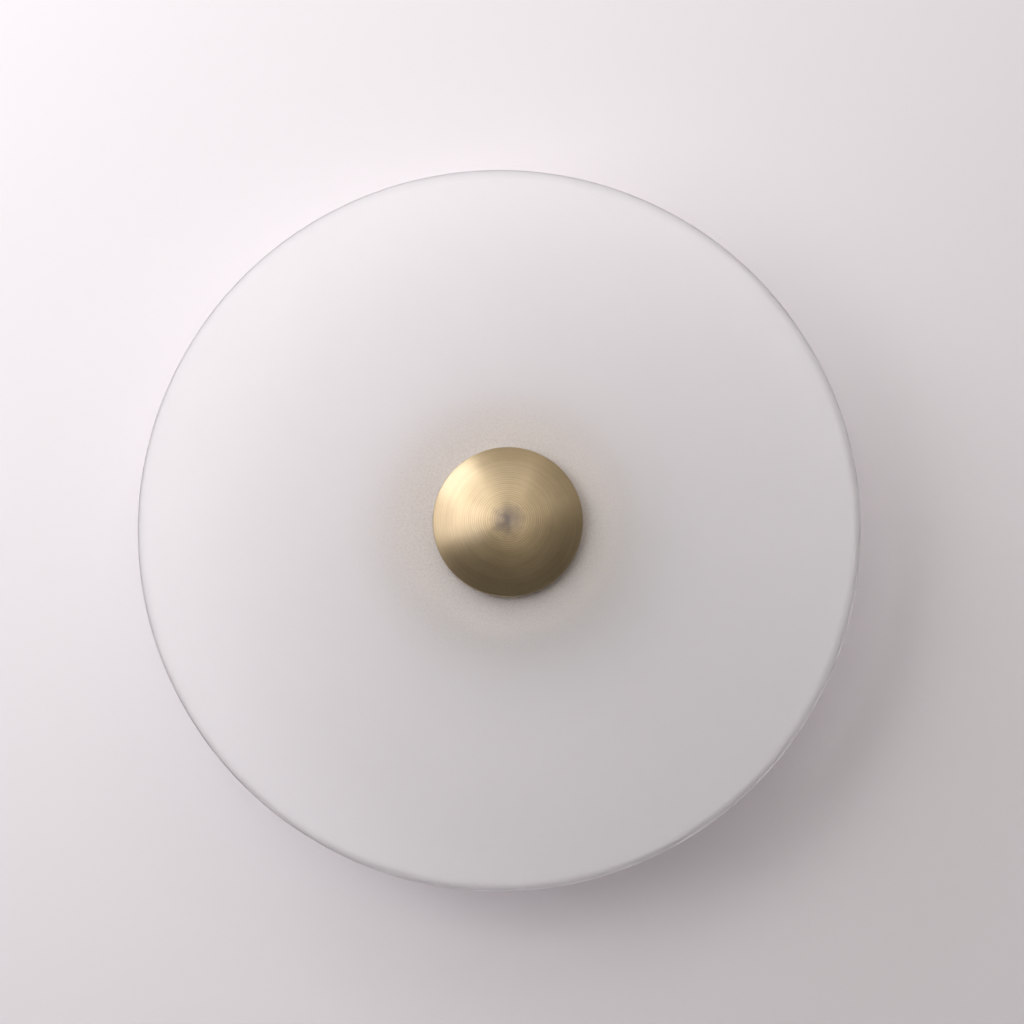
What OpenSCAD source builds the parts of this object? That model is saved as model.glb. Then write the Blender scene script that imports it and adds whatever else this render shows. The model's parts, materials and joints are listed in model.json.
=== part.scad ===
// Wall sconce: a frosted glass disc held on a threaded rod by a domed brass knob,
// in front of a round brass canopy that carries a ring of light.
// Millimetres. The wall is the plane y = 0, the lamp stands out along -Y, +Z is up.
// Every sub-part is drawn with its own z as the distance out from the wall, and placed by out().

/* [Glass disc] */
// Diameter of the glass disc
glass_d = 300; // [240:10:360]
// Thickness of the glass, whose edge is ground to a full round
glass_t = 10; // [7:0.5:12]
// Diameter of the hole drilled in the middle of the glass
glass_hole_d = 24; // [22:0.5:28]
// How far the glass sits to the right in its oversize hole
glass_shift_x = -3.8; // [-3.8:0.1:3.8]
// How far the glass sits upwards in its oversize hole
glass_shift_z = -1.6; // [-2:0.2:2]
// Bevel round both mouths of the drilled hole
glass_bevel = 0.6; // [0.2:0.1:1]

/* [Knob] */
// Diameter of the knob
knob_d = 62; // [52:1:76]
// Height of the knob, rim to crown
knob_h = 15; // [14:0.5:24]
// Height of the straight band round the knob's rim
knob_band = 4.5; // [3:0.5:6]
// Round at both edges of the band
knob_rim_r = 1.2; // [0.6:0.1:1.5]
// Fullness of the dome: 1 is a cone, 2 a parabola
knob_fullness = 2.1; // [1.3:0.1:2.6]
// Depth of the threaded bore in the knob
knob_bore_depth = 11; // [10:0.5:12]
// Gap between the knob's rim and the glass
knob_rim_gap = 0.3; // [0.2:0.1:0.5]

/* [Threaded rod] */
// Outer diameter of the rod's thread
rod_d = 10; // [8:0.5:10]
// Length of thread inside the tightened knob
rod_grip = 9; // [8.5:0.5:9.5]
// Bevel at both ends of the rod
rod_bevel = 0.8; // [0.4:0.1:1.2]

/* [Clamp] */
// Diameter of the collar nut that the glass sits against
collar_d = 40; // [38:1:46]
// Thickness of the collar nut
collar_h = 4; // [3:0.5:8]
// Number of flutes round the collar nut
collar_flutes = 36; // [24:2:48]
// Radius of each flute
flute_r = 0.9; // [0.5:0.1:1.2]
// Thickness of the gasket behind the glass
rear_gasket_t = 1.5; // [1:0.25:3]
// Thickness of the gasket in front of the glass
front_gasket_t = 1; // [0.8:0.1:1.5]
// Wall of the nylon sleeve on the rod
sleeve_wall = 1.4; // [1:0.1:1.5]

/* [Light ring] */
// Diameter of the spool that the light strip is wound on
spool_d = 70; // [62:1:78]
// Depth of the spool
spool_h = 14; // [12:1:20]
// Thickness of the spool's rim
spool_wall = 2.5; // [2:0.25:3]
// Thickness of the spool's web
spool_web = 3; // [2:0.5:4]
// Width of the light strip
strip_w = 10; // [8:1:10]
// Thickness of the light strip
strip_t = 0.6; // [0.4:0.1:0.8]
// Number of light chips on the strip
chip_count = 26; // [18:1:26]
// Air between the light chips and the diffuser
diffuser_air = 3.5; // [2.5:0.25:5]
// Thickness of the opal diffuser ring
diffuser_wall = 2; // [1.5:0.25:2.5]
// How far the cap plate reaches past the diffuser
cap_overhang = 4; // [1:0.5:8]
// Thickness of the cap plate
cap_plate_t = 2; // [1.5:0.25:3]
// Depth of the lip that centres the diffuser
cap_lip_h = 1.5; // [1:0.25:2]

/* [Canopy] */
// Outer diameter of the canopy
canopy_d = 110; // [108:1:140]
// Depth of the canopy, wall to front face
canopy_depth = 22; // [21:0.5:32]
// Thickness of the canopy's sheet
canopy_wall = 1.5; // [1:0.1:2]
// Round between the canopy's side and front face
canopy_round = 4; // [2.5:0.5:6]
// Gap between the canopy's open rim and the wall
canopy_wall_gap = 0.3; // [0.1:0.1:1]
// Diameter of the two side screws
side_screw_d = 4; // [3:0.5:4]
// Distance of the side screws from the wall
side_screw_out = 10; // [8:0.5:12]

/* [Wall plate] */
// Thickness of the wall plate
plate_t = 2; // [1.5:0.25:3]
// Gap between the plate's edge and the canopy's side
plate_edge_gap = 5.5; // [4:0.5:6]
// Distance between the two slots for the wall screws
slot_spacing = 64; // [58:1:66]
// Length of each slot, end to end
slot_length = 12; // [8:1:14]
// Width of each slot
slot_w = 5; // [4:0.5:6]
// Width of the two tabs that the canopy is screwed to
tab_w = 12; // [10:1:16]
// Height of the two tabs, out from the wall
tab_h = 16; // [15:0.5:17]

/* [Wiring] */
// Bore of the grommet for the supply cable
cable_d = 8; // [6:0.5:9]
// Length of the driver's case
driver_l = 50; // [44:1:54]
// Width of the driver's case
driver_w = 20; // [16:1:20]
// Space left in front of the driver, for the heads of the spool's screws
driver_front_gap = 2.5; // [2.2:0.1:5]
// Distance between the poles of the terminal block
pole_pitch = 8; // [7:0.5:8]
// Height of the terminal block
block_h = 13; // [11:0.5:14]
// Diameter of a mains lead over its insulation
mains_lead_d = 2.4; // [2:0.1:2.6]
// Diameter of a lead to the light strip over its insulation
strip_lead_d = 1.6; // [1.2:0.1:1.8]

/* [Hidden] */

$fn = 96;
// Overshoot of a cut past the face that it opens
eps = 0.5;

// Clearances
thread_gap = 0.05;
sleeve_gap = 0.1;
hole_gap = 0.25;
seat_gap = 0.3;
lead_gap = 0.3;
crimp_gap = 0.1;
strip_glue = 0.1;

// Distances out from the wall, each from the piece that it rests on
spool_back = canopy_depth;
spool_front = spool_back + spool_h;
cap_front = spool_front + cap_plate_t;
collar_front = cap_front + collar_h;
glass_back = collar_front + rear_gasket_t;
glass_front = glass_back + glass_t;
knob_seat = glass_front + front_gasket_t;
knob_rim = glass_front + knob_rim_gap;
boss_floor = 1;
rod_front = knob_seat + rod_grip;

// A light chip: along the strip, across it, and off it
chip_l = 3.5;
chip_w = 2.8;
chip_h = 0.8;

// Radii that pieces share
rod_r = rod_d / 2;
bore_r = rod_r + thread_gap;
pass_r = rod_r + hole_gap;
sleeve_in_r = rod_r + sleeve_gap;
sleeve_out_r = sleeve_in_r + sleeve_wall;
gasket_hole_r = sleeve_out_r + seat_gap;
canopy_in_r = canopy_d / 2 - canopy_wall;
canopy_in_front = canopy_depth - canopy_wall;
plate_r = canopy_in_r - plate_edge_gap;
spool_r = spool_d / 2;
strip_in_r = spool_r + strip_glue;
strip_r = strip_in_r + strip_t;
diffuser_in_r = strip_r + chip_h + diffuser_air;
diffuser_r = diffuser_in_r + diffuser_wall;
cap_plate_r = diffuser_r + cap_overhang;

// Boss, washer and nut that hold the rod to the plate
boss_flats = 17;
boss_h = 9;
boss_spigot_r = 6.5;
washer_r = 9;
washer_t = 1;
washer_teeth = 12;
tooth_slot = 1.2;
tooth_depth = 1.8;
nut_flats = 16;
nut_h = 5;
nut_bevel = 0.8;
washer_back = plate_t + boss_h;
nut_back = washer_back + washer_t;

// Small pan-head screws
m3_r = 1.5;
m3_head_r = 2.8;
m3_head_h = 1.9;
m4_r = 2;
m4_head_r = 3.6;
m4_head_h = 2.4;
driver_slot_w = 0.8;
driver_slot_depth = 0.8;
screw_tip_gap = 0.2;

// Tabs bent up from the plate
tab_corner_gap = 0.4;
tab_bend_r = 3;
tab_face = sqrt(pow(canopy_in_r - tab_corner_gap, 2) - pow(tab_w / 2, 2));

// Places on the wall plate, seen from the front
cable_at = [19, -27];
earth_at = [34, -18];
driver_at = [0, 28];
block_at = [-17, -29];

// Cable grommet
grommet_wall = 2.9;
grommet_lip = 2;
grommet_neck_r = cable_d / 2 + grommet_wall;
grommet_flange_r = grommet_neck_r + grommet_lip;
grommet_flange_h = 1.6;
grommet_nose_r = grommet_neck_r - grommet_lip / 2;
grommet_nose_h = 3.4;
grommet_inset = 0.2;

// Lead grommet in the canopy's face
lead_hole_at = [21, 0];
lead_grommet_neck_r = 4;
lead_grommet_flange_r = 5.2;
lead_grommet_flange_h = 1;
lead_grommet_bore_r = 2.8;
web_window_r = 6;

// Terminal block
pole_count = 3;
block_w = 16;
block_l = pole_count * pole_pitch;
block_floor_h = 4;
hump_gap = 2;
hump_l = pole_pitch - hump_gap;
block_round = 1;
barrel_r = 2.3;
barrel_wall = 0.7;
barrel_inset = 1;
barrel_l = block_w - 2 * barrel_inset;
barrel_up = 4.5;
barrel_out = plate_t + barrel_up;
barrel_screw_r = 1.5;
barrel_screw_side = 4;
grub_inset = 1;
block_lug_l = 8;
block_lug_h = 3;
block_lug_hole = [block_at.x + block_l / 2 + block_lug_l / 2, block_at.y];

// Driver
driver_round = 2;
driver_lid_h = 2;
driver_panel_edge = 5;
driver_panel_depth = 0.5;
driver_lug_l = 6;
driver_lug_w = 8;
driver_lug_h = 3;
driver_lead_out = 8;
driver_lead_depth = 3;
driver_lug_x = driver_l / 2 + driver_lug_l / 2;
driver_h = canopy_in_front - driver_front_gap - plate_t;

// Tag under the earth screw
tag_r = 4.2;
tag_t = 0.8;
tag_barrel_r = 1.9;
tag_barrel_l = 5;
tag_lift = 0.2;
tag_angle = 152;

// Spool screws
spool_screw_ring = 25;
spool_screw_count = 3;
spool_screw_bite = 2.4;

// Light strip, the hole that its leads come through, and the lip over it
strip_gap = 7;
strip_out = spool_back + spool_h / 2;
chip_first = 16;
lead_exit_r = 3;
cap_lip_w = 2;

// Knob: how far the round at the top of its band turns, and where the dome goes on from it
band_turn = 90 - atan(knob_fullness * (knob_h - knob_band) / (knob_d / 2));
dome_edge_r = knob_d / 2 - knob_rim_r * (1 - cos(band_turn));
dome_edge = knob_band - knob_rim_r * (1 - sin(band_turn));
rim_steps = 6;
dome_steps = 30;

// Routes of the leads: x, up, distance out from the wall
live_route = [
    [-25, -24, 6.5], [-25, -17, 6.5], [-22, -9, 8], [-19, 0, 9], [-20, 9, 8.5], [-22, 16, 8],
    [-22, 20, 8],
];
neutral_route = [
    [-17, -24, 6.5], [-17, -17, 6.5], [-15, -9, 7], [-14, 0, 7], [-14, 9, 7], [-16, 16, 8],
    [-16, 20, 8],
];
earth_route = [
    [-9, -24, 6.5], [-8, -18, 7], [-2, -15, 7], [7, -15, 7], [16, -13, 5.5], [23, -12.2, 4.1],
    [26.8, -14.2, 4.1],
];
plus_route = [
    [16, 20, 8], [16, 15, 8], [17, 9, 10], [19, 4, 14], [21, 1.2, spool_back - 3],
    [21.2, 1.1, spool_back + 2], [24.5, 1.1, strip_out - 1], [spool_r - 5, 1.1, strip_out],
    [spool_r - 0.8, 1.2, strip_out], [spool_r + 1.5, 3.4, strip_out], [spool_r + 1.1, 6.8, strip_out],
];
minus_route = [
    [21, 20, 8], [22, 14, 8], [24, 7, 9.5], [24, 1, 13], [21.6, -1.2, spool_back - 4],
    [21.2, -1.1, spool_back + 2], [24.5, -1.1, strip_out - 1], [spool_r - 5, -1.1, strip_out],
    [spool_r - 0.8, -1.2, strip_out], [spool_r + 1.5, -3.4, strip_out], [spool_r + 1.1, -6.8, strip_out],
];
lead_sides = 8;
mains_substeps = 2;
strip_substeps = 1;

// Colours
brass = [0.70, 0.60, 0.41];
bright_brass = [0.80, 0.66, 0.36];
zinc = [0.74, 0.75, 0.76];
aluminium = [0.84, 0.85, 0.86];
frosted = [0.95, 0.95, 0.96, 0.75];
opal = [0.96, 0.95, 0.93];
nylon = [0.93, 0.92, 0.88];
silicone = [0.86, 0.86, 0.85];
black_rubber = [0.12, 0.12, 0.12];

// Turns a sub-part's own z into the distance out from the wall
module out(distance = 0) {
    translate([0, -distance, 0]) rotate([90, 0, 0]) children();
}

module ring(outer_r, inner_r, h) {
    difference() {
        cylinder(r = outer_r, h = h);
        translate([0, 0, -eps]) cylinder(r = inner_r, h = h + 2 * eps);
    }
}

module hexagon(flats, h) {
    cylinder(r = flats / 2 / cos(30), h = h, $fn = 6);
}

// A box on the plane z = 0, centred in x and y, with its upright edges rounded
module round_box(l, w, h, r) {
    linear_extrude(h) round_rectangle(l, w, r);
}

module round_rectangle(l, w, r) {
    square([l - 2 * r, w], center = true);
    square([l, w - 2 * r], center = true);
    for (sx = [-1, 1], sy = [-1, 1]) translate([sx * (l / 2 - r), sy * (w / 2 - r)]) circle(r);
}

// A slot along x, with round ends
module slot_hole(l, w, h) {
    linear_extrude(h) {
        square([l - w, w], center = true);
        for (s = [-1, 1]) translate([s * (l - w) / 2, 0]) circle(w / 2);
    }
}

// A slotted pan-head screw: head upwards from z = 0, shank down
module pan_screw(r, l, head_r, head_h) {
    translate([0, 0, -l]) cylinder(r = r, h = l + eps);
    difference() {
        cylinder(r = head_r, h = head_h);
        translate([0, 0, head_h - driver_slot_depth / 2])
            cube([driver_slot_w, 2 * head_r + eps, driver_slot_depth], center = true);
    }
}

// One cubic stretch of a smooth curve through b and c
function curve_point(a, b, c, d, t) =
    b + t * (c - a) / 2
    + t * t * (a - 2.5 * b + 2 * c - 0.5 * d)
    + t * t * t * (-0.5 * a + 1.5 * b - 1.5 * c + 0.5 * d);
function smooth_route(p, steps) = let (last = len(p) - 1) [
    for (i = [0 : last - 1], k = [0 : steps - 1])
        curve_point(p[max(i - 1, 0)], p[i], p[i + 1], p[min(i + 2, last)], k / steps),
    p[last],
];
function unit(v) = v / norm(v);
function route_heading(p, i) = unit(p[min(i + 1, len(p) - 1)] - p[max(i - 1, 0)]);

// A round lead swept along its route: one ring of points at each place, closed at both ends
module lead(route, d, steps) {
    p = smooth_route(route, steps);
    rings = len(p);
    points = [
        for (i = [0 : rings - 1])
            let (
                heading = route_heading(p, i),
                side = unit(cross(heading, abs(heading.z) < 0.9 ? [0, 0, 1] : [0, 1, 0])),
                lift = cross(side, heading)
            )
            for (k = [0 : lead_sides - 1])
                let (a = 360 * k / lead_sides)
                p[i] + d / 2 * (cos(a) * side + sin(a) * lift)
    ];
    walls = [
        for (i = [0 : rings - 2], k = [0 : lead_sides - 1])
            let (
                n = (k + 1) % lead_sides,
                here = i * lead_sides,
                next = here + lead_sides
            )
            each [[here + k, next + n, next + k], [here + k, here + n, next + n]]
    ];
    first_cap = [for (k = [1 : lead_sides - 2]) [0, k + 1, k]];
    last = (rings - 1) * lead_sides;
    last_cap = [for (k = [1 : lead_sides - 2]) [last, last + k, last + k + 1]];
    polyhedron(points, concat(walls, first_cap, last_cap), convexity = 6);
}

// Steel plate on the wall, with slots, a cable hole and two tabs for the canopy's screws
module wall_plate() {
    color(zinc) out() difference() {
        union() {
            cylinder(r = plate_r, h = plate_t);
            for (side = [0, 180]) rotate(side) bent_tab();
        }
        translate([0, 0, -eps]) cylinder(r = boss_spigot_r + thread_gap, h = plate_t + 2 * eps);
        for (s = [-1, 1]) translate([s * slot_spacing / 2, 0, -eps])
            slot_hole(slot_length, slot_w, plate_t + 2 * eps);
        at(cable_at, -eps) cylinder(r = grommet_neck_r + thread_gap, h = plate_t + 2 * eps);
        at(earth_at, -eps) cylinder(r = m4_r + thread_gap, h = plate_t + 2 * eps);
        for (p = plate_screw_places()) at(p, -eps)
            cylinder(r = m3_r + thread_gap, h = plate_t + 2 * eps);
        for (s = [-1, 1]) translate([s * tab_face, 0, side_screw_out]) rotate([0, 90, 0])
            cylinder(r = side_screw_d / 2 + thread_gap, h = 4 * plate_t, center = true);
    }
}

module at(place, z = 0) {
    translate([place.x, place.y, z]) children();
}

function plate_screw_places() = [
    [driver_at.x - driver_lug_x, driver_at.y],
    [driver_at.x + driver_lug_x, driver_at.y],
    block_lug_hole,
];

module bent_tab() {
    translate([0, tab_w / 2, 0]) rotate([90, 0, 0]) linear_extrude(tab_w) {
        translate([plate_r - plate_t, 0]) square([tab_face - tab_bend_r - plate_r + plate_t, plate_t]);
        translate([tab_face - plate_t, tab_bend_r]) square([plate_t, tab_h - tab_bend_r]);
        translate([tab_face - tab_bend_r, tab_bend_r]) difference() {
            circle(tab_bend_r);
            circle(tab_bend_r - plate_t);
            translate([-2 * tab_bend_r, -2 * tab_bend_r]) square([2 * tab_bend_r, 4 * tab_bend_r]);
            translate([-2 * tab_bend_r, 0]) square([4 * tab_bend_r, 2 * tab_bend_r]);
        }
    }
}

// Hexagonal boss pressed into the plate: the rod screws in until it stands on the boss's floor
module rod_boss() {
    color(zinc) out() difference() {
        union() {
            cylinder(r = boss_spigot_r, h = plate_t + eps);
            translate([0, 0, plate_t]) hexagon(boss_flats, boss_h);
        }
        translate([0, 0, boss_floor]) cylinder(r = bore_r, h = plate_t + boss_h);
    }
}

module threaded_rod() {
    color(zinc) out() rotate_extrude() polygon([
        [0, boss_floor], [rod_r - rod_bevel, boss_floor], [rod_r, boss_floor + rod_bevel],
        [rod_r, rod_front - rod_bevel], [rod_r - rod_bevel, rod_front], [0, rod_front],
    ]);
}

module lock_washer() {
    color(zinc) out(washer_back) difference() {
        ring(washer_r, pass_r, washer_t);
        for (i = [0 : washer_teeth - 1]) rotate(i * 360 / washer_teeth)
            translate([washer_r - tooth_depth, -tooth_slot / 2, -eps])
                cube([tooth_depth + eps, tooth_slot, washer_t + 2 * eps]);
    }
}

module lock_nut() {
    color(zinc) out(nut_back) difference() {
        intersection() {
            hexagon(nut_flats, nut_h);
            rotate_extrude() polygon([
                [0, 0], [nut_flats / 2, 0], [nut_flats / 2 + 2 * nut_bevel, nut_bevel],
                [nut_flats / 2 + 2 * nut_bevel, nut_h - nut_bevel], [nut_flats / 2, nut_h], [0, nut_h],
            ]);
        }
        translate([0, 0, -eps]) cylinder(r = bore_r, h = nut_h + 2 * eps);
    }
}

// Screws that hold the driver and the terminal block to the plate
module plate_screws() {
    color(zinc) out() for (p = plate_screw_places())
        at(p, plate_t + (p == block_lug_hole ? block_lug_h : driver_lug_h))
            pan_screw(m3_r, (p == block_lug_hole ? block_lug_h : driver_lug_h) + plate_t - screw_tip_gap,
                m3_head_r, m3_head_h);
}

module earth_screw() {
    color(bright_brass) out() at(earth_at, plate_t + tag_t)
        pan_screw(m4_r, plate_t + tag_t - screw_tip_gap, m4_head_r, m4_head_h);
}

// Ring tag crimped on the earth lead
module earth_tag() {
    color(zinc) out(plate_t) at(earth_at) {
        difference() {
            union() {
                cylinder(r = tag_r, h = tag_t);
                rotate(tag_angle) translate([0, -tag_barrel_r, 0])
                    cube([tag_r + tag_barrel_l, 2 * tag_barrel_r, tag_t]);
            }
            translate([0, 0, -eps]) cylinder(r = m4_r + thread_gap, h = tag_t + 2 * eps);
        }
        rotate(tag_angle) translate([tag_r + eps, 0, tag_barrel_r + tag_lift]) rotate([0, 90, 0])
            ring(tag_barrel_r, mains_lead_d / 2 + crimp_gap, tag_barrel_l - eps);
    }
}

module cable_grommet() {
    color(black_rubber) out() at(cable_at) difference() {
        union() {
            translate([0, 0, grommet_inset]) cylinder(r = grommet_neck_r, h = plate_t);
            translate([0, 0, plate_t]) cylinder(r = grommet_flange_r, h = grommet_flange_h);
            translate([0, 0, plate_t + grommet_flange_h])
                cylinder(r = grommet_nose_r, h = grommet_nose_h);
        }
        cylinder(r = cable_d / 2, h = plate_t + grommet_flange_h + grommet_nose_h + eps);
    }
}

function pole_x(i) = block_at.x + (i - (pole_count - 1) / 2) * pole_pitch;

// Moulded body of the terminal block, with a hump over each pole
module terminal_block() {
    color(nylon) out(plate_t) difference() {
        union() {
            at(block_at) round_box(block_l, block_w, block_floor_h, block_round);
            for (i = [0 : pole_count - 1]) translate([pole_x(i), block_at.y, 0])
                round_box(hump_l, block_w, block_h, block_round);
            translate([block_at.x + block_l / 2 - block_round, block_at.y - block_lug_l / 2, 0])
                cube([block_lug_l + block_round, block_lug_l, block_lug_h]);
        }
        at(block_lug_hole, -eps) cylinder(r = m3_r + thread_gap, h = block_lug_h + 2 * eps);
        for (i = [0 : pole_count - 1]) {
            translate([pole_x(i), block_at.y, barrel_up]) rotate([90, 0, 0])
                cylinder(r = barrel_r + thread_gap, h = block_w + 2 * eps, center = true);
            for (s = [-1, 1])
                translate([pole_x(i), block_at.y + s * barrel_screw_side, barrel_up])
                    cylinder(r = barrel_screw_r + 2 * thread_gap, h = block_h);
        }
    }
}

module terminal_barrels() {
    color(bright_brass) out() for (i = [0 : pole_count - 1])
        translate([pole_x(i), block_at.y, barrel_out]) difference() {
            rotate([90, 0, 0]) cylinder(r = barrel_r, h = barrel_l, center = true);
            rotate([90, 0, 0]) cylinder(r = barrel_r - barrel_wall, h = barrel_l + 2 * eps, center = true);
            for (s = [-1, 1]) translate([0, s * barrel_screw_side, 0])
                cylinder(r = barrel_screw_r + thread_gap, h = 2 * barrel_r);
        }
}

// Grub screws that clamp the leads, two in each barrel
module terminal_screws() {
    grub_back = barrel_out + mains_lead_d / 2 + thread_gap;
    grub_front = plate_t + block_h - grub_inset;
    color(zinc) out() for (i = [0 : pole_count - 1], s = [-1, 1])
        translate([pole_x(i), block_at.y + s * barrel_screw_side, grub_back]) difference() {
            cylinder(r = barrel_screw_r, h = grub_front - grub_back);
            translate([0, 0, grub_front - grub_back]) cube(
                [driver_slot_w, 2 * barrel_screw_r + eps, 2 * driver_slot_depth], center = true);
        }
}

// Case of the driver, with two lugs and a hole for each lead
module driver_case() {
    color(nylon) out(plate_t) difference() {
        union() {
            at(driver_at) round_box(driver_l, driver_w, driver_h - driver_lid_h, driver_round);
            at(driver_at) round_box(driver_l + 2 * driver_lug_l, driver_lug_w, driver_lug_h, driver_round);
        }
        for (i = [0, 1]) at(plate_screw_places()[i], -eps)
            cylinder(r = m3_r + thread_gap, h = driver_lug_h + 2 * eps);
        for (route = [live_route, neutral_route]) driver_lead_hole(route[len(route) - 1], mains_lead_d);
        for (route = [plus_route, minus_route]) driver_lead_hole(route[0], strip_lead_d);
    }
}

module driver_lead_hole(place, d) {
    translate([place.x, driver_at.y - driver_w / 2 - eps, driver_lead_out - plate_t])
        rotate([-90, 0, 0]) cylinder(r = d / 2 + lead_gap, h = driver_lead_depth + eps);
}

module driver_lid() {
    panel_l = driver_l - 2 * driver_panel_edge;
    panel_w = driver_w - 2 * driver_panel_edge;
    color(nylon) out(plate_t + driver_h - driver_lid_h) at(driver_at) difference() {
        round_box(driver_l, driver_w, driver_lid_h, driver_round);
        translate([0, 0, driver_lid_h - driver_panel_depth])
            round_box(panel_l, panel_w, driver_lid_h, driver_round);
    }
}

module live_lead() {
    color([0.36, 0.20, 0.11]) out() lead(live_route, mains_lead_d, mains_substeps);
}

module neutral_lead() {
    color([0.15, 0.35, 0.70]) out() lead(neutral_route, mains_lead_d, mains_substeps);
}

module earth_lead() {
    color([0.35, 0.60, 0.20]) out() lead(earth_route, mains_lead_d, mains_substeps);
}

module strip_lead_plus() {
    color([0.75, 0.12, 0.10]) out() lead(plus_route, strip_lead_d, strip_substeps);
}

module strip_lead_minus() {
    color(black_rubber) out() lead(minus_route, strip_lead_d, strip_substeps);
}

// Section of a cup that opens at y = 0, with a round between its side and its floor
module cup_section(r, h, round_r) {
    square([r - round_r, h]);
    square([r, h - round_r]);
    translate([r - round_r, h - round_r]) circle(round_r);
}

// Spun brass cup over the wiring
module canopy() {
    canopy_r = canopy_d / 2;
    color(brass) out() difference() {
        rotate_extrude() difference() {
            cup_section(canopy_r, canopy_depth, canopy_round);
            cup_section(canopy_in_r, canopy_in_front, canopy_round - canopy_wall);
            translate([0, -eps]) square([canopy_d, canopy_wall_gap + eps]);
        }
        cylinder(r = pass_r, h = canopy_depth + eps);
        at(lead_hole_at) cylinder(r = lead_grommet_neck_r + thread_gap, h = canopy_depth + eps);
        for (i = [0 : spool_screw_count - 1]) rotate(spool_screw_angle(i))
            translate([spool_screw_ring, 0, 0]) cylinder(r = m3_r + thread_gap, h = canopy_depth + eps);
        for (s = [-1, 1]) translate([s * canopy_in_r, 0, side_screw_out]) rotate([0, 90, 0])
            cylinder(r = side_screw_d / 2 + hole_gap, h = 8 * canopy_wall, center = true);
    }
}

function spool_screw_angle(i) = 180 + i * 360 / spool_screw_count;

module canopy_screws() {
    reach = canopy_d / 2 - tab_face + 2 * plate_t;
    color(brass) out() for (side = [0, 180]) rotate(side)
        translate([canopy_d / 2, 0, side_screw_out]) rotate([0, 90, 0])
            pan_screw(side_screw_d / 2, reach, m4_head_r, m4_head_h);
}

module lead_grommet() {
    color(black_rubber) out() at(lead_hole_at) difference() {
        union() {
            translate([0, 0, canopy_in_front - lead_grommet_flange_h])
                cylinder(r = lead_grommet_flange_r, h = lead_grommet_flange_h);
            translate([0, 0, canopy_in_front - eps])
                cylinder(r = lead_grommet_neck_r, h = canopy_wall + eps);
            translate([0, 0, canopy_depth])
                cylinder(r = lead_grommet_flange_r, h = lead_grommet_flange_h);
        }
        cylinder(r = lead_grommet_bore_r, h = 2 * canopy_depth);
    }
}

// Turned aluminium spool: a rim for the strip on a web that is screwed to the canopy
module led_spool() {
    color(aluminium) out(spool_back) difference() {
        cylinder(r = spool_r, h = spool_h);
        translate([0, 0, spool_web]) ring(spool_r - spool_wall, pass_r + spool_wall, spool_h);
        translate([0, 0, -eps]) cylinder(r = pass_r, h = spool_h + 2 * eps);
        at(lead_hole_at, -eps) cylinder(r = web_window_r, h = spool_web + 2 * eps);
        translate([spool_r - spool_wall, 0, strip_out - spool_back]) rotate([0, 90, 0])
            cylinder(r = lead_exit_r, h = 3 * spool_wall, center = true);
        for (i = [0 : spool_screw_count - 1]) rotate(spool_screw_angle(i))
            translate([spool_screw_ring, 0, -eps])
                cylinder(r = m3_r + thread_gap, h = spool_screw_bite + eps + seat_gap);
    }
}

module spool_screws() {
    color(zinc) out() for (i = [0 : spool_screw_count - 1]) rotate(spool_screw_angle(i))
        translate([spool_screw_ring, 0, canopy_in_front]) rotate([180, 0, 0])
            pan_screw(m3_r, canopy_wall + spool_screw_bite, m3_head_r, m3_head_h);
}

module led_strip() {
    color(opal) out(strip_out - strip_w / 2) difference() {
        ring(strip_r, strip_in_r, strip_w);
        translate([spool_r - spool_wall, -strip_gap / 2, -eps])
            cube([2 * spool_wall, strip_gap, strip_w + 2 * eps]);
    }
}

module led_chips() {
    chip_step = (360 - 2 * chip_first) / (chip_count - 1);
    color([0.95, 0.86, 0.45]) out() for (i = [0 : chip_count - 1])
        rotate(chip_first + i * chip_step)
            translate([strip_r, -chip_l / 2, strip_out - chip_w / 2]) cube([chip_h, chip_l, chip_w]);
}

module diffuser_ring() {
    color(opal) out(spool_back) ring(diffuser_r, diffuser_in_r, spool_h);
}

// Brass plate that closes the light ring, with a lip inside the diffuser
module cap_plate() {
    lip_r = diffuser_in_r - seat_gap;
    flat_r = cap_plate_r - cap_plate_t / 2;
    color(brass) out() difference() {
        union() {
            translate([0, 0, spool_front]) rotate_extrude() {
                square([flat_r, cap_plate_t]);
                translate([flat_r, cap_plate_t / 2]) circle(cap_plate_t / 2);
            }
            translate([0, 0, spool_front - cap_lip_h])
                ring(lip_r, lip_r - cap_lip_w, cap_lip_h + eps);
        }
        cylinder(r = pass_r, h = cap_front + eps);
    }
}

// Fluted nut that clamps the canopy's stack and gives the glass its seat
module collar_nut() {
    color(brass) out(cap_front) difference() {
        ring(collar_d / 2, bore_r, collar_h);
        for (i = [0 : collar_flutes - 1]) rotate(i * 360 / collar_flutes)
            translate([collar_d / 2 + flute_r / 2, 0, -eps])
                cylinder(r = flute_r, h = collar_h + 2 * eps, $fn = 24);
    }
}

module rear_gasket() {
    color(silicone) out(collar_front) ring(collar_d / 2 - flute_r, gasket_hole_r, rear_gasket_t);
}

module front_gasket() {
    color(silicone) out(glass_front) ring(collar_d / 2 - flute_r, gasket_hole_r, front_gasket_t);
}

// Nylon sleeve that keeps the glass off the rod
module centring_sleeve() {
    sleeve_back = collar_front + seat_gap;
    color(nylon) out(sleeve_back) ring(sleeve_out_r, sleeve_in_r, knob_seat - seat_gap - sleeve_back);
}

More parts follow.
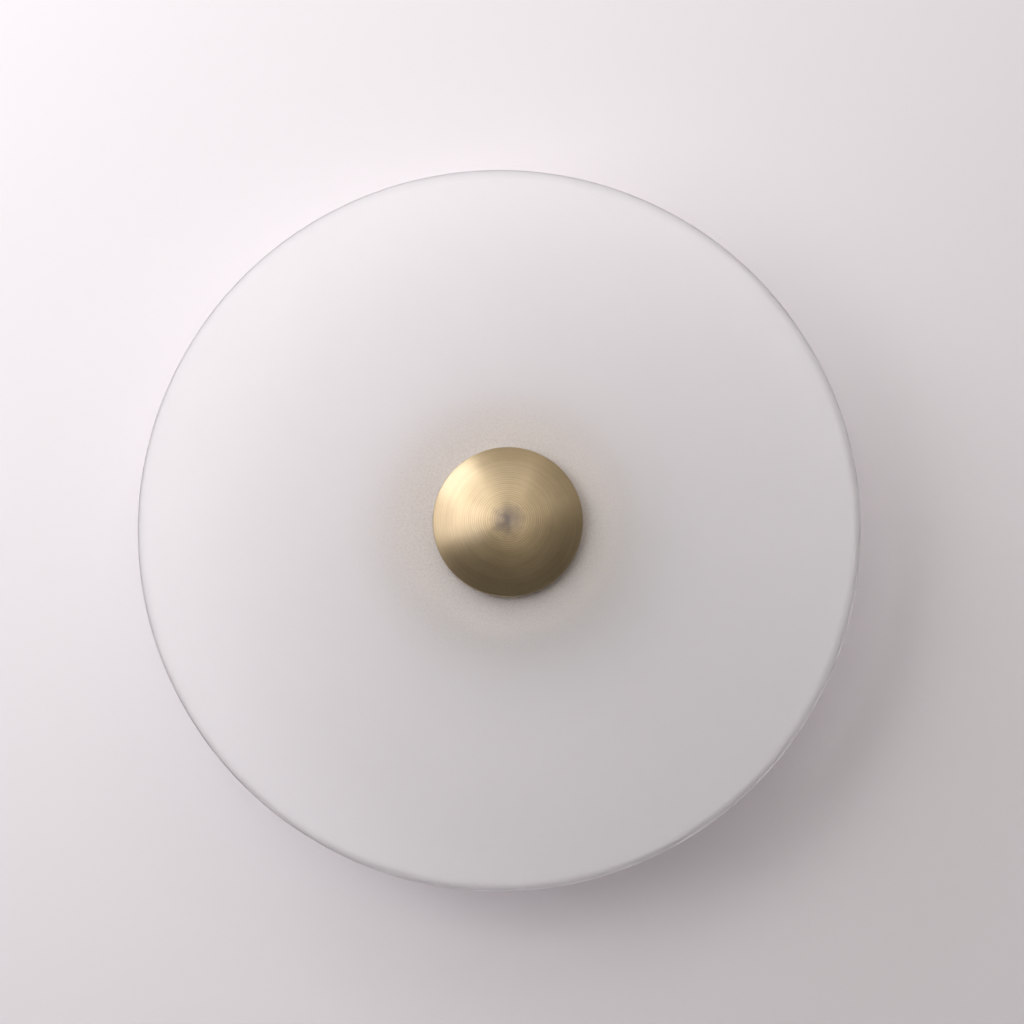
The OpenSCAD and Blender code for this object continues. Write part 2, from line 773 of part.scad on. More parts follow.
module glass_disc() {
    hole_r = glass_hole_d / 2;
    mouth_r = hole_r + glass_bevel + eps;
    color(frosted) translate([glass_shift_x, 0, glass_shift_z]) out(glass_back) difference() {
        rotate_extrude() {
            square([(glass_d - glass_t) / 2, glass_t]);
            translate([(glass_d - glass_t) / 2, glass_t / 2]) circle(glass_t / 2);
        }
        rotate_extrude() polygon([
            [0, -eps], [mouth_r, -eps], [hole_r, glass_bevel],
            [hole_r, glass_t - glass_bevel], [mouth_r, glass_t + eps], [0, glass_t + eps],
        ]);
    }
}

// Turned outline of the knob: a straight band with rounded edges, then a dome up to the crown
function band_round(centre, from, to) = [
    for (i = [0 : rim_steps])
        let (a = from + (to - from) * i / rim_steps)
        [knob_d / 2 - knob_rim_r + knob_rim_r * cos(a), centre + knob_rim_r * sin(a)]
];
function dome_point(t) =
    [dome_edge_r * t, knob_h - (knob_h - dome_edge) * pow(t, knob_fullness)];
function knob_outline() = concat(
    [[0, 0]],
    band_round(knob_rim_r, -90, 0),
    band_round(knob_band - knob_rim_r, 0, band_turn),
    [for (i = [1 : dome_steps]) dome_point(1 - i / dome_steps)]
);

module domed_knob() {
    recess = knob_seat - knob_rim;
    color(brass) out(knob_rim) difference() {
        rotate_extrude() polygon(knob_outline());
        translate([0, 0, -eps]) cylinder(r = collar_d / 2 + seat_gap, h = recess + eps);
        translate([0, 0, -eps]) cylinder(r = bore_r, h = recess + knob_bore_depth + eps);
    }
}

wall_plate();
rod_boss();
threaded_rod();
lock_washer();
lock_nut();
plate_screws();
earth_screw();
earth_tag();
cable_grommet();
terminal_block();
terminal_barrels();
terminal_screws();
driver_case();
driver_lid();
live_lead();
neutral_lead();
earth_lead();
strip_lead_plus();
strip_lead_minus();
canopy();
canopy_screws();
lead_grommet();
led_spool();
spool_screws();
led_strip();
led_chips();
diffuser_ring();
cap_plate();
collar_nut();
rear_gasket();
centring_sleeve();
glass_disc();
front_gasket();
domed_knob();
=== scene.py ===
import json
import math

import bmesh
import bpy
from mathutils import Matrix, Vector

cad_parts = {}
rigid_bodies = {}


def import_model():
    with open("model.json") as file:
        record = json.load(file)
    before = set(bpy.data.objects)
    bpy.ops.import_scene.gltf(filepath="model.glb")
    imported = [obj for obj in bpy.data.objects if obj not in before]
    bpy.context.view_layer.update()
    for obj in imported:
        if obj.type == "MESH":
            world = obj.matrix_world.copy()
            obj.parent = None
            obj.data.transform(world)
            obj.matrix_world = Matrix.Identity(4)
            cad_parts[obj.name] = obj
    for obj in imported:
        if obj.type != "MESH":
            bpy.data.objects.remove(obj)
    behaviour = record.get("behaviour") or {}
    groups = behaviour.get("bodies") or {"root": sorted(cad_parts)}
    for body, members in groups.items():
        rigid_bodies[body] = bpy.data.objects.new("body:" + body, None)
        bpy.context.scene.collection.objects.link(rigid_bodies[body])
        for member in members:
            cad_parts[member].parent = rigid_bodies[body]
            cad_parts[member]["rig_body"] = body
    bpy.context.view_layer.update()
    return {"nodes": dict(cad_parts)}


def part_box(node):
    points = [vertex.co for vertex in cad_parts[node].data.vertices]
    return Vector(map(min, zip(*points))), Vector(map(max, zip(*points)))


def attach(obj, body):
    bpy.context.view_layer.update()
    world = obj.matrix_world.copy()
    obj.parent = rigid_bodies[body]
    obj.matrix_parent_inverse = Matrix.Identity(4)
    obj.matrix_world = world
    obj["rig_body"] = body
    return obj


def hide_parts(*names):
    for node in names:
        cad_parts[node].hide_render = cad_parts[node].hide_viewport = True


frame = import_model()

# Metres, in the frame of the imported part: the wall is the plane y = 0, the lamp stands out
# along -Y, +Z is up. An outline is a list of (radius, distance out from the wall).

# Camera: where the photograph was taken from, round the middle of the glass
CAMERA_DISTANCE = 1.25
CAMERA_AZIMUTH = math.radians(0.6)
CAMERA_ELEVATION = math.radians(-4.7)
CAMERA_LENS = 105.9
AIM_RIGHT_OF_GLASS = 0.00541
AIM_ABOVE_GLASS = 0.00639

# Lights, as seen from the middle of the glass. Azimuth goes anticlockwise from the right, and
# a light off the normal by 0 would stand straight in front. The key has a grid, and is aimed
# above the lamp; the low side light skims the wall and throws the long shadow.
class Lamp:
    def __init__(self, azimuth, off_normal, distance, size, power, colour, spread=180, aim=(0, 0)):
        self.azimuth = math.radians(azimuth)
        self.off_normal = math.radians(off_normal)
        self.distance = distance
        self.size = size
        self.power = power
        self.colour = colour
        self.spread = math.radians(spread)
        self.aim = aim


LIGHTS = {
    "key": Lamp(130, 45, 1.1, (1.4, 0.85), 0.90, (1, 0.98, 0.975), spread=65, aim=(-0.059, 0.274)),
    "low_side": Lamp(137, 73, 1.05, (0.65, 0.5), 4.8, (0.93, 0.95, 1)),
    "left": Lamp(174, 50, 1.3, (0.8, 1.2), 7.1, (0.975, 0.96, 1)),
    "top": Lamp(95, 50, 1.3, (1.2, 0.8), 3.6, (1, 0.98, 0.965)),
    "upper_right": Lamp(45, 45, 1.5, (1.2, 1.2), 3.2, (1, 0.965, 0.92)),
    "front": Lamp(90, 10, 2.2, (1.2, 1.2), 9.1, (1, 0.965, 0.925)),
}

# World: behind the wall, and in the room in front of it
BACKDROP_LIGHT = 0.8
ROOM_LIGHT = 0.004

# Finishes
GLASS_THROWN_BACK = 0.46
GLASS_TINT = (0.995, 0.985, 0.99)
GLASS_GRAIN = 1100.0
GLASS_IOR = 1.5
ETCHED_ROUGHNESS = 0.85
POLISHED_ROUGHNESS = 0.05
GROUND_ROUGHNESS = 0.6
EDGE_MILKINESS = 0.9
# Round the knob the etched grain is drawn and darkens the glass a little: partly painted shade
GRAIN_AND_SHADE_FULL_WITHIN = 0.034
GRAIN_AND_SHADE_GONE_BEYOND = 0.062
BRASS_ROUGHNESS = 0.36
BRASS_DRAWN = 0.8
BRASS_LACQUER = 1.0
RING_PITCH = 0.0011
RINGS_STRONG_WITHIN = 0.006
RINGS_FAINT_BEYOND = 0.030
# How far the painted dark reflection round the knob's middle reaches
PAINTED_APEX_DARK_RADIUS = 0.0080
THREAD_PITCH = 0.001

# Glass: the bevel at the mouth of its hole
GLASS_MOUTH_BEVEL = 0.0006

# Knob: the outline that the CAD knob has
KNOB_RIM_ROUND = 0.0012
KNOB_FULLNESS = 2.1
KNOB_BAND = 0.0045
KNOB_BORE = 0.0203


class Span:
    """Where a CAD node lies: its box's middle and half width, its bore, its reach out from the wall."""

    def __init__(self, node):
        low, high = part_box(node)
        self.x = (low.x + high.x) / 2
        self.z = (low.z + high.z) / 2
        self.radius = (high.x - low.x) / 2
        self.back = -high.y
        self.front = -low.y
        points = [v.co for v in frame["nodes"][node].data.vertices]
        self.bore = min(math.hypot(p.x - self.x, p.z - self.z) for p in points)


glass = Span("glass_disc")
knob = Span("domed_knob")


def arc(radius_at, out_at, size, start, end, steps):
    """Points of a round in an outline, from one angle to another."""
    angles = [math.radians(start + (end - start) * i / steps) for i in range(steps + 1)]
    return [(radius_at + size * math.cos(a), out_at + size * math.sin(a)) for a in angles]


def turned(name, node, outline, segments=256, closed=True):
    """A piece turned round the axis of the CAD node that it replaces."""
    span = Span(node)
    vertices, rings = [], []
    for radius, out in outline:
        count = 1 if radius < 1e-7 else segments
        rings.append([len(vertices) + i for i in range(count)])
        for i in range(count):
            a = math.tau * i / segments
            vertices.append((radius * math.cos(a), -out, radius * math.sin(a)))
    faces = []
    for inner, outer in zip(rings, rings[1:] + rings[:1] if closed else rings[1:]):
        for i in range(segments):
            j = i + 1
            corners = [
                inner[i % len(inner)], inner[j % len(inner)],
                outer[j % len(outer)], outer[i % len(outer)],
            ]
            corners = list(dict.fromkeys(corners))
            if len(corners) > 2:
                faces.append(corners)
    mesh = bpy.data.meshes.new(name)
    mesh.from_pydata(vertices, [], faces)
    shell = bmesh.new()
    shell.from_mesh(mesh)
    bmesh.ops.recalc_face_normals(shell, faces=shell.faces)
    shell.to_mesh(mesh)
    shell.free()
    mesh.shade_smooth()
    mesh.set_sharp_from_angle(angle=math.radians(35))
    piece = bpy.data.objects.new(name, mesh)
    bpy.context.scene.collection.objects.link(piece)
    piece.location = (span.x, 0, span.z)
    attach(piece, frame["nodes"][node]["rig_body"])
    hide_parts(node)
    return piece


# Shader nodes
def add(tree, kind, settings=None, **inputs):
    """A shader node; an input is a value or another node's output."""
    node = tree.nodes.new("ShaderNode" + kind)
    for name, value in (settings or {}).items():
        setattr(node, name, value)
    for name, value in inputs.items():
        put(tree, node.inputs[name.replace("_", " ")], value)
    return node


def put(tree, socket, value):
    if isinstance(value, bpy.types.NodeSocket):
        tree.links.new(value, socket)
    else:
        socket.default_value = value


def calculate(tree, operation, *values):
    """Arithmetic on numbers, as the output of a node."""
    node = add(tree, "Math", {"operation": operation})
    for socket, value in zip(node.inputs, values):
        put(tree, socket, value)
    return node.outputs[0]


def vector(tree, operation, *values):
    """A node of vector arithmetic; the last inputs may be left as they are."""
    node = add(tree, "VectorMath", {"operation": operation})
    for socket, value in zip(node.inputs, values):
        put(tree, socket, value)
    return node


def ramp(tree, factor, *stops):
    """Colour ramp from (position, colour) stops."""
    node = add(tree, "ValToRGB", Fac=factor)
    elements = node.color_ramp.elements
    while len(elements) < len(stops):
        elements.new(0.5)
    for element, (position, colour) in zip(elements, stops):
        element.position = position
        element.color = (*colour, 1)
    return node.outputs["Color"]


def new_material(name):
    """The material of this name, with its nodes cleared: the output's surface waits for a shader."""
    made = bpy.data.materials.get(name) or bpy.data.materials.new(name)
    made.use_nodes = True
    made.node_tree.nodes.clear()
    output = made.node_tree.nodes.new("ShaderNodeOutputMaterial")
    return made, made.node_tree, output.inputs["Surface"]


def dress(piece, made):
    piece.data.materials.clear()
    piece.data.materials.append(made)


def object_place(tree):
    return add(tree, "TexCoord").outputs["Object"]


def noise(tree, place, scale, detail=4.0, roughness=0.6):
    node = add(tree, "TexNoise", Vector=place, Scale=scale, Detail=detail, Roughness=roughness)
    return node.outputs["Fac"]


def blend(tree, factor, first, second, kind="MIX"):
    """One colour over another; each is a triple or another node's output."""
    def whole(colour):
        return colour if isinstance(colour, bpy.types.NodeSocket) else (*colour, 1)

    mix = add(tree, "MixRGB", {"blend_type": kind}, Fac=factor)
    put(tree, mix.inputs["Color1"], whole(first))
    put(tree, mix.inputs["Color2"], whole(second))
    return mix.outputs[0]


def either(tree, share, first, second):
    """Two shader nodes mixed: the share is the second one's."""
    mix = add(tree, "MixShader", Fac=share)
    put(tree, mix.inputs[1], first.outputs[0])
    put(tree, mix.inputs[2], second.outputs[0])
    return mix


def span_of(tree, value, low, high):
    """How far a value has come from low to high, kept between 0 and 1."""
    node = add(tree, "MapRange", Value=value)
    for name, number in (("From Min", low), ("From Max", high), ("To Min", 0.0), ("To Max", 1.0)):
        node.inputs[name].default_value = number
    return node.outputs[0]


def radius_from_axis(tree, axes):
    squares = [calculate(tree, "POWER", axes.outputs[k], 2.0) for k in ("X", "Z")]
    return calculate(tree, "SQRT", calculate(tree, "ADD", *squares))


def outward(tree):
    """The surface's normal along Y: -1 where it faces the room, 1 where it faces the wall."""
    normal = add(tree, "NewGeometry").outputs["Normal"]
    return add(tree, "SeparateXYZ", Vector=normal).outputs["Y"]


def soft_edge(tree, radius):
    """The normal that small rounds would give to a piece's edges, and how near an edge a point is."""
    rounded = add(tree, "Bevel", {"samples": 4}, Radius=radius).outputs[0]
    straight = add(tree, "NewGeometry").outputs["Normal"]
    alike = vector(tree, "DOT_PRODUCT", rounded, straight)
    return rounded, span_of(tree, alike.outputs["Value"], 0.99, 0.80)


# Materials
def frosted_glass():
    """Etched front, which throws a part of the light back and scatters the rest.

    The back is polished and the rounded edge satin. The light thrown back doesn't see where the front
    begins to round off, because thick glass evens the light out there.
    """
    made, tree, surface = new_material("frosted_glass")
    place = object_place(tree)
    axes = add(tree, "SeparateXYZ", Vector=place)
    # Etched grain, drawn only round the knob, where it also darkens the glass a little: partly painted
    # shade round the knob.
    grain_and_painted_shade = ramp(tree, noise(tree, place, GLASS_GRAIN, 2.0, 0.8), (0.35, (0.90,) * 3), (0.60, (1, 1, 1)))
    in_knob_shade = span_of(tree, radius_from_axis(tree, axes), GRAIN_AND_SHADE_GONE_BEYOND, GRAIN_AND_SHADE_FULL_WITHIN)
    tint = blend(tree, in_knob_shade, GLASS_TINT, blend(tree, 1.0, GLASS_TINT, grain_and_painted_shade, "MULTIPLY"))
    facing = outward(tree)
    level = add(tree, "CombineXYZ", X=0.0, Y=calculate(tree, "SIGN", facing), Z=0.0).outputs[0]
    fine = noise(tree, place, 1300.0, 3.0, 0.7)
    bump = add(tree, "Bump", Strength=0.15, Distance=0.0002, Height=fine, Normal=level)
    through = add(tree, "BsdfGlass", Color=tint, Roughness=ETCHED_ROUGHNESS, IOR=GLASS_IOR)
    back = add(tree, "BsdfDiffuse", Color=tint, Normal=bump.outputs[0])
    etched = either(tree, GLASS_THROWN_BACK, through, back)
    polished = add(tree, "BsdfGlass", Color=tint, Roughness=POLISHED_ROUGHNESS, IOR=GLASS_IOR)
    middle_of_glass = -(glass.front + glass.back) / 2
    in_front = calculate(tree, "LESS_THAN", axes.outputs["Y"], middle_of_glass)
    face = either(tree, in_front, polished, etched)
    ground = add(tree, "BsdfGlass", Color=tint, Roughness=GROUND_ROUGHNESS, IOR=GLASS_IOR)
    milk = add(tree, "BsdfTranslucent", Color=tint)
    edge = either(tree, EDGE_MILKINESS, ground, milk)
    on_face = span_of(tree, calculate(tree, "ABSOLUTE", facing), 0.45, 0.60)
    put(tree, surface, either(tree, on_face, edge, face).outputs[0])
    return made


def turned_brass(name, colour, tarnish, rings=0.0, painted_apex_dark=None):
    """Brass brushed on a lathe, lacquered: rings round the lamp's axis, a highlight drawn across them.

    The dark patch painted round the middle, where one is given, is a painted reflection: the flat top
    mirrors the dim room in front.
    """
    made, tree, surface = new_material(name)
    place = object_place(tree)
    axes = add(tree, "SeparateXYZ", Vector=place)
    radius = radius_from_axis(tree, axes)
    along = calculate(tree, "ADD", radius, axes.outputs["Y"])
    not_zero = calculate(tree, "ADD", radius, 0.0001)
    ways = [calculate(tree, "DIVIDE", axes.outputs[k], not_zero) for k in ("X", "Z")]
    across = add(tree, "CombineXYZ", X=ways[0], Y=calculate(tree, "DIVIDE", along, 0.0006), Z=ways[1])
    fine = noise(tree, across.outputs[0], 0.8)
    patches = noise(tree, place, 60.0)
    shade = blend(tree, ramp(tree, patches, (0.35, (0, 0, 0)), (0.75, (0.6, 0.6, 0.6))), colour, tarnish)
    sway = calculate(tree, "MULTIPLY", fine, 3.0)
    phase = calculate(tree, "MULTIPLY_ADD", along, math.tau / RING_PITCH, sway)
    wave = calculate(tree, "MULTIPLY_ADD", calculate(tree, "SINE", phase), 0.5, 0.5)
    towards_middle = span_of(tree, radius, RINGS_FAINT_BEYOND, RINGS_STRONG_WITHIN)
    weight = calculate(tree, "MULTIPLY_ADD", towards_middle, 0.8 * rings, 0.2 * rings)
    grooves = ramp(tree, wave, (0.0, (0.62, 0.60, 0.58)), (0.8, (1, 1, 1)))
    shade = blend(tree, weight, shade, grooves, "MULTIPLY")
    streaks = ramp(tree, fine, (0.35, (0.80, 0.79, 0.78)), (0.60, (1, 1, 1)))
    shade = blend(tree, rings, shade, streaks, "MULTIPLY")
    # Painted reflection: a dark patch round the middle, where the top of the dome mirrors the dim room.
    if painted_apex_dark:
        wander = add(tree, "TexNoise", Vector=place, Scale=280.0, Detail=3.0).outputs["Color"]
        away = vector(tree, "MULTIPLY_ADD", wander, (0.006, 0, 0.006), (-0.003, 0, -0.003))
        flat_place = add(tree, "CombineXYZ", X=axes.outputs["X"], Y=0.0, Z=axes.outputs["Z"])
        moved = vector(tree, "ADD", flat_place.outputs[0], away.outputs[0])
        distance = vector(tree, "LENGTH", moved.outputs[0]).outputs["Value"]
        near_middle = span_of(tree, distance, PAINTED_APEX_DARK_RADIUS, PAINTED_APEX_DARK_RADIUS / 10)
        shade = blend(tree, near_middle, shade, painted_apex_dark)
    rough = calculate(tree, "MULTIPLY_ADD", fine, 0.12, BRASS_ROUGHNESS)
    bump = add(tree, "Bump", Strength=0.25, Distance=0.00005, Height=fine)
    ripple = add(tree, "Bump", Strength=0.4 * rings, Distance=0.00002, Height=wave, Normal=bump.outputs[0])
    tangent = add(tree, "Tangent", {"direction_type": "RADIAL", "axis": "Y"})
    metal = add(tree, "BsdfPrincipled", Base_Color=shade, Metallic=1.0,
                Roughness=rough, Anisotropic=BRASS_DRAWN, Anisotropic_Rotation=0.25,
                Coat_Weight=BRASS_LACQUER, Coat_Roughness=0.3,
                Normal=ripple.outputs[0], Tangent=tangent.outputs[0])
    put(tree, surface, metal.outputs[0])
    return made


def metal_finish(name, colour, second, roughness, worn):
    """Two tones of metal in soft patches, a fine grain in bump and gloss, rounded and worn edges."""
    made, tree, surface = new_material(name)
    place = object_place(tree)
    fine = noise(tree, place, 1500.0)
    cloud = ramp(tree, noise(tree, place, 70.0), (0.35, (0, 0, 0)), (0.7, (1, 1, 1)))
    shade = blend(tree, cloud, colour, second)
    rounded, edge = soft_edge(tree, 0.0003)
    rub = calculate(tree, "MULTIPLY", edge, noise(tree, place, 600.0))
    shade = blend(tree, rub, shade, worn)
    pores = ramp(tree, fine, (0.3, (0.7, 0.7, 0.7)), (0.7, (1, 1, 1)))
    shade = blend(tree, 0.35, shade, pores, "MULTIPLY")
    bump = add(tree, "Bump", Strength=0.4, Distance=0.00003, Height=fine, Normal=rounded)
    skin = add(tree, "BsdfPrincipled", Base_Color=shade, Metallic=1.0, Normal=bump.outputs[0],
               Roughness=calculate(tree, "MULTIPLY_ADD", fine, 0.2, roughness - 0.1))
    put(tree, surface, skin.outputs[0])
    return made


def zinc_plate(name, threaded=False):
    """Zinc on steel: flat crystals of slightly different grey; on the rod, a thread in the bump."""
    made, tree, surface = new_material(name)
    place = object_place(tree)
    crystals = add(tree, "TexVoronoi", Vector=place, Scale=260.0).outputs["Color"]
    grey = add(tree, "RGBToBW", Color=crystals).outputs[0]
    fine = noise(tree, place, 1800.0)
    rounded, edge = soft_edge(tree, 0.0003)
    shade = ramp(tree, grey, (0.1, (0.50, 0.51, 0.52)), (0.9, (0.64, 0.65, 0.66)))
    shade = blend(tree, calculate(tree, "MULTIPLY", edge, 0.6), shade, (0.78, 0.79, 0.80))
    bump = add(tree, "Bump", Strength=0.3, Distance=0.00002, Height=fine, Normal=rounded)
    normal = bump.outputs[0]
    if threaded:
        axes = add(tree, "SeparateXYZ", Vector=place)
        turn = calculate(tree, "ARCTAN2", axes.outputs["Z"], axes.outputs["X"])
        turns = calculate(tree, "MULTIPLY", turn, -1 / math.tau)
        climb = calculate(tree, "MULTIPLY_ADD", axes.outputs["Y"], -1 / THREAD_PITCH, turns)
        ridge = calculate(tree, "PINGPONG", climb, 0.5)
        on_side = calculate(tree, "LESS_THAN", calculate(tree, "ABSOLUTE", outward(tree)), 0.3)
        depth = THREAD_PITCH * 0.9
        thread = add(tree, "Bump", Strength=on_side, Distance=depth, Height=ridge, Normal=normal)
        normal = thread.outputs[0]
    metal = add(tree, "BsdfPrincipled", Base_Color=shade, Metallic=1.0, Normal=normal,
                Roughness=calculate(tree, "MULTIPLY_ADD", grey, 0.15, 0.34))
    put(tree, surface, metal.outputs[0])
    return made


def moulded(name, colour, roughness, depth):
    """Moulded plastic or rubber: an even eroded grain."""
    made, tree, surface = new_material(name)
    place = object_place(tree)
    cells = add(tree, "TexVoronoi", {"feature": "SMOOTH_F1"}, Vector=place, Scale=2600.0)
    grain = cells.outputs["Distance"]
    cloud = noise(tree, place, 90.0)
    darker = tuple(0.9 * c for c in colour)
    shade = blend(tree, cloud, colour, darker)
    rounded = soft_edge(tree, 0.0003)[0]
    bump = add(tree, "Bump", Strength=0.35, Distance=depth, Height=grain, Normal=rounded)
    skin = add(tree, "BsdfPrincipled", Base_Color=shade, Normal=bump.outputs[0],
               Roughness=calculate(tree, "MULTIPLY_ADD", cloud, 0.15, roughness))
    put(tree, surface, skin.outputs[0])
    return made


def milky(name, colour, roughness, entering):
    """Milky silicone or opal acrylic: light enters and spreads under the skin."""
    made, tree, surface = new_material(name)
    place = object_place(tree)
    cloud = noise(tree, place, 50.0)
    fine = noise(tree, place, 1500.0)
    shade = blend(tree, cloud, colour, tuple(0.95 * c for c in colour))
    rounded = soft_edge(tree, 0.0002)[0]
    bump = add(tree, "Bump", Strength=0.2, Distance=0.00002, Height=fine, Normal=rounded)
    skin = add(tree, "BsdfPrincipled", Base_Color=shade, Subsurface_Weight=entering,
               Subsurface_Scale=0.002, Normal=bump.outputs[0],
               Roughness=calculate(tree, "MULTIPLY_ADD", fine, 0.15, roughness))
    put(tree, surface, skin.outputs[0])
    return made


def insulation(name, colour, stripe=None):
    """Extruded lead: satin, with faint marks on it; the earth lead has a stripe on its front."""
    made, tree, surface = new_material(name)
    place = object_place(tree)
    marks = noise(tree, place, 900.0)
    shade = blend(tree, marks, colour, tuple(0.75 * c for c in colour))
    if stripe:
        shade = blend(tree, calculate(tree, "LESS_THAN", outward(tree), -0.55), shade, stripe)
    bump = add(tree, "Bump", Strength=0.2, Distance=0.00003, Height=marks)
    skin = add(tree, "BsdfPrincipled", Base_Color=shade, Normal=bump.outputs[0],
               Roughness=calculate(tree, "MULTIPLY_ADD", marks, 0.2, 0.3))
    put(tree, surface, skin.outputs[0])
    return made


# Pieces
def glass_outline():
    half = (glass.front - glass.back) / 2
    mouth = GLASS_MOUTH_BEVEL
    edge = arc(glass.radius - half, glass.back + half, half, -90, 90, 24)
    flat_steps = [glass.bore + (glass.radius - half - glass.bore) * i / 6 for i in range(1, 6)]
    return (
        [(glass.bore, glass.back + mouth), (glass.bore + mouth, glass.back)]
        + [(r, glass.back) for r in flat_steps]
        + edge
        + [(r, glass.front) for r in reversed(flat_steps)]
        + [(glass.bore + mouth, glass.front), (glass.bore, glass.front - mouth)]
    )


def knob_outline():
    slope = KNOB_FULLNESS * (knob.front - knob.back - KNOB_BAND) / knob.radius
    turn = 90 - math.degrees(math.atan(slope))
    dome_radius = knob.radius - KNOB_RIM_ROUND * (1 - math.cos(math.radians(turn)))
    dome_edge = knob.back + KNOB_BAND - KNOB_RIM_ROUND * (1 - math.sin(math.radians(turn)))
    dome = [
        (dome_radius * i / 64, knob.front - (knob.front - dome_edge) * (i / 64) ** KNOB_FULLNESS)
        for i in range(63, -1, -1)
    ]
    round_at = knob.radius - KNOB_RIM_ROUND
    return (
        [(KNOB_BORE, knob.back + 0.0007), (KNOB_BORE, knob.back)]
        + arc(round_at, knob.back + KNOB_RIM_ROUND, KNOB_RIM_ROUND, -90, 0, 6)
        + arc(round_at, knob.back + KNOB_BAND - KNOB_RIM_ROUND, KNOB_RIM_ROUND, 0, turn, 6)
        + dome
    )


glass_piece = turned("glass_disc_frosted", "glass_disc", glass_outline())
dress(glass_piece, frosted_glass())
knob_piece = turned("domed_knob_brushed", "domed_knob", knob_outline(), closed=False)
# The last colour is the painted dark reflection round the knob's middle
aged_brass = turned_brass("aged_brass", (0.56, 0.43, 0.25), (0.42, 0.315, 0.175), rings=0.6,
                          painted_apex_dark=(0.14, 0.105, 0.085))
dress(knob_piece, aged_brass)

# The other nodes keep their solids and take these finishes through their slots
zinc_plate("zinc_steel")
metal_finish("bright_brass", (0.78, 0.60, 0.30), (0.66, 0.48, 0.22), 0.30, worn=(0.88, 0.74, 0.44))
metal_finish("spool_aluminium", (0.80, 0.81, 0.82), (0.70, 0.71, 0.73), 0.38, worn=(0.90, 0.90, 0.91))
milky("clear_silicone", (0.82, 0.82, 0.80), 0.40, 0.6)
milky("opal_acrylic", (0.88, 0.86, 0.82), 0.35, 0.5)
moulded("black_rubber", (0.035, 0.035, 0.036), 0.60, 0.00006)
moulded("white_nylon", (0.80, 0.78, 0.72), 0.42, 0.00004)
moulded("strip_film", (0.85, 0.85, 0.82), 0.45, 0.00002)
moulded("chip_phosphor", (0.86, 0.70, 0.20), 0.50, 0.00002)
insulation("brown_insulation", (0.22, 0.10, 0.045))
insulation("blue_insulation", (0.05, 0.17, 0.48))
insulation("green_insulation", (0.12, 0.36, 0.07), stripe=(0.80, 0.68, 0.08))
insulation("red_insulation", (0.55, 0.035, 0.03))
insulation("black_insulation", (0.03, 0.03, 0.03))


def refinish(node, made):
    """Another finish on a CAD node than its slot has."""
    frame["nodes"][node].material_slots[0].material = made


refinish("threaded_rod", zinc_plate("zinc_thread", threaded=True))
satin_brass = turned_brass("satin_brass", (0.75, 0.57, 0.36), (0.65, 0.49, 0.30))
refinish("cap_plate", satin_brass)
refinish("collar_nut", satin_brass)
screw_brass = metal_finish("brass_screw", (0.52, 0.39, 0.20), (0.38, 0.27, 0.13), 0.36,
                           worn=(0.70, 0.55, 0.30))
refinish("canopy_screws", screw_brass)


# Wall and floor
def sheet_piece(name, corners, made):
    mesh = bpy.data.meshes.new(name)
    mesh.from_pydata(corners, [], [(0, 1, 2, 3)])
    piece = bpy.data.objects.new(name, mesh)
    bpy.context.scene.collection.objects.link(piece)
    mesh.materials.append(made)
    return piece


def wall_paint():
    """Smooth paint. From behind, the wall is unseen and lets the daylight reach what lies on it."""
    made, tree, surface = new_material("wall_paint")
    place = object_place(tree)
    roller = noise(tree, place, 420.0)
    cloud = noise(tree, place, 1.3)
    shade = blend(tree, cloud, (0.868, 0.828, 0.848), (0.852, 0.812, 0.832))
    bump = add(tree, "Bump", Strength=0.1, Distance=0.0002, Height=roller)
    paint = add(tree, "BsdfDiffuse", Color=shade, Normal=bump.outputs[0])
    clear = add(tree, "BsdfTransparent")
    behind = add(tree, "NewGeometry").outputs["Backfacing"]
    close = calculate(tree, "LESS_THAN", add(tree, "LightPath").outputs["Ray Length"], 0.0015)
    unseen = calculate(tree, "MAXIMUM", behind, close)
    put(tree, surface, either(tree, unseen, paint, clear).outputs[0])
    return made


def floor_paint():
    """Pale to the camera; to other rays a dim floor, as in the room that the knob mirrors."""
    made, tree, surface = new_material("floor_paint")
    shade = blend(tree, noise(tree, object_place(tree), 3.0), (0.84, 0.83, 0.82), (0.80, 0.79, 0.78))
    dim = add(tree, "BsdfDiffuse", Color=(0.03, 0.03, 0.03, 1))
    pale = add(tree, "Emission", Color=shade, Strength=0.8)
    seen = add(tree, "LightPath").outputs["Is Camera Ray"]
    put(tree, surface, either(tree, seen, dim, pale).outputs[0])
    return made


WALL_HALF = 3.0
FLOOR_DROP = 1.5
WALL_BEHIND = 0.0003
sheet_piece("wall", [
    (-WALL_HALF, WALL_BEHIND, -FLOOR_DROP), (WALL_HALF, WALL_BEHIND, -FLOOR_DROP),
    (WALL_HALF, WALL_BEHIND, WALL_HALF), (-WALL_HALF, WALL_BEHIND, WALL_HALF),
], wall_paint())
sheet_piece("floor", [
    (-WALL_HALF, -WALL_HALF, -FLOOR_DROP), (WALL_HALF, -WALL_HALF, -FLOOR_DROP),
    (WALL_HALF, WALL_HALF, -FLOOR_DROP), (-WALL_HALF, WALL_HALF, -FLOOR_DROP),
], floor_paint())


# Lights
def area_light(name, place, aim, size, power, spread, colour):
    """A soft box whose width lies along the wall, square to the way it shines."""
    data = bpy.data.lights.new(name, "AREA")
    data.shape = "RECTANGLE"
    data.size, data.size_y = size
    data.energy = power
    data.spread = spread
    data.color = colour
    lamp = bpy.data.objects.new(name, data)
    bpy.context.scene.collection.objects.link(lamp)
    lamp.location = place
    away = (Vector(place) - Vector(aim)).normalized()
    across = away.cross(Vector((0, 1, 0))).normalized()
    lamp.rotation_euler = Matrix((across, away.cross(across), away)).transposed().to_euler()


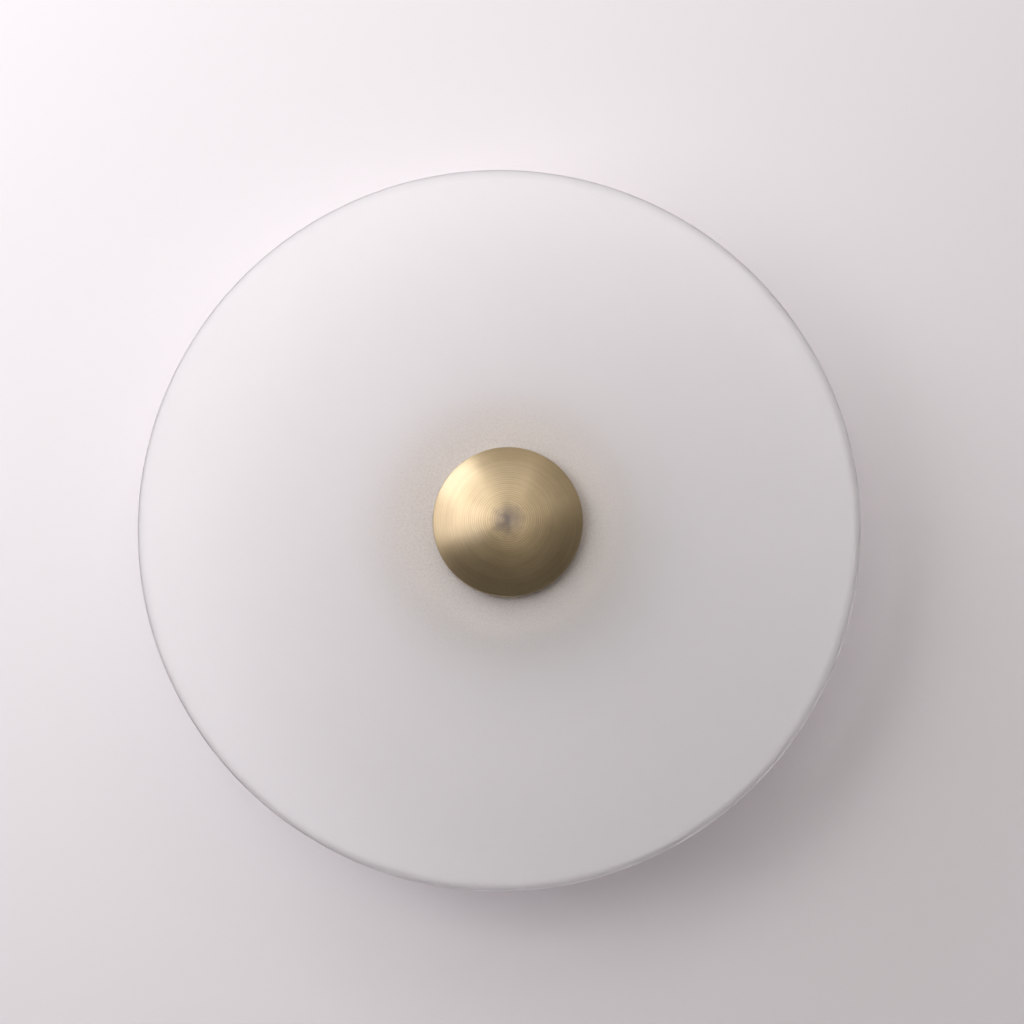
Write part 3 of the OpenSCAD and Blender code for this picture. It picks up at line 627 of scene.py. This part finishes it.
middle = Vector((glass.x, -(glass.front + glass.back) / 2, glass.z))
for name, lamp in LIGHTS.items():
    sideways = math.sin(lamp.off_normal)
    way = Vector((
        sideways * math.cos(lamp.azimuth),
        -math.cos(lamp.off_normal),
        sideways * math.sin(lamp.azimuth),
    ))
    right, up = lamp.aim
    aim = middle + Vector((right, 0, up))
    area_light(name, middle + lamp.distance * way, aim, lamp.size, lamp.power, lamp.spread, lamp.colour)


def studio_world():
    """Pale behind the wall, dim in the room before it; where a camera looks past the wall, pale again."""
    world = bpy.data.worlds.new("studio")
    bpy.context.scene.world = world
    world.use_nodes = True
    tree = world.node_tree
    tree.nodes.clear()
    direction = add(tree, "TexCoord").outputs["Generated"]
    towards_wall = add(tree, "SeparateXYZ", Vector=direction).outputs["Y"]
    beyond = calculate(tree, "GREATER_THAN", towards_wall, 0.0)
    seen = add(tree, "LightPath").outputs["Is Camera Ray"]
    pale = calculate(tree, "MAXIMUM", beyond, seen)
    strength = calculate(tree, "MULTIPLY_ADD", pale, BACKDROP_LIGHT - ROOM_LIGHT, ROOM_LIGHT)
    sky = add(tree, "Background", Color=(1, 0.98, 0.985, 1), Strength=strength)
    output = tree.nodes.new("ShaderNodeOutputWorld")
    put(tree, output.inputs["Surface"], sky.outputs[0])


studio_world()

# Camera
aim = Vector((glass.x + AIM_RIGHT_OF_GLASS, middle.y, glass.z + AIM_ABOVE_GLASS))
back = Vector((
    math.sin(CAMERA_AZIMUTH) * math.cos(CAMERA_ELEVATION),
    -math.cos(CAMERA_AZIMUTH) * math.cos(CAMERA_ELEVATION),
    math.sin(CAMERA_ELEVATION),
))
camera_data = bpy.data.cameras.new("camera")
camera_data.lens = CAMERA_LENS
camera_data.sensor_width = 36
camera = bpy.data.objects.new("camera", camera_data)
bpy.context.scene.collection.objects.link(camera)
camera.location = aim + CAMERA_DISTANCE * back
camera.rotation_euler = (-back).to_track_quat("-Z", "Y").to_euler()
bpy.context.scene.camera = camera
bpy.context.scene.view_settings.view_transform = "Standard"
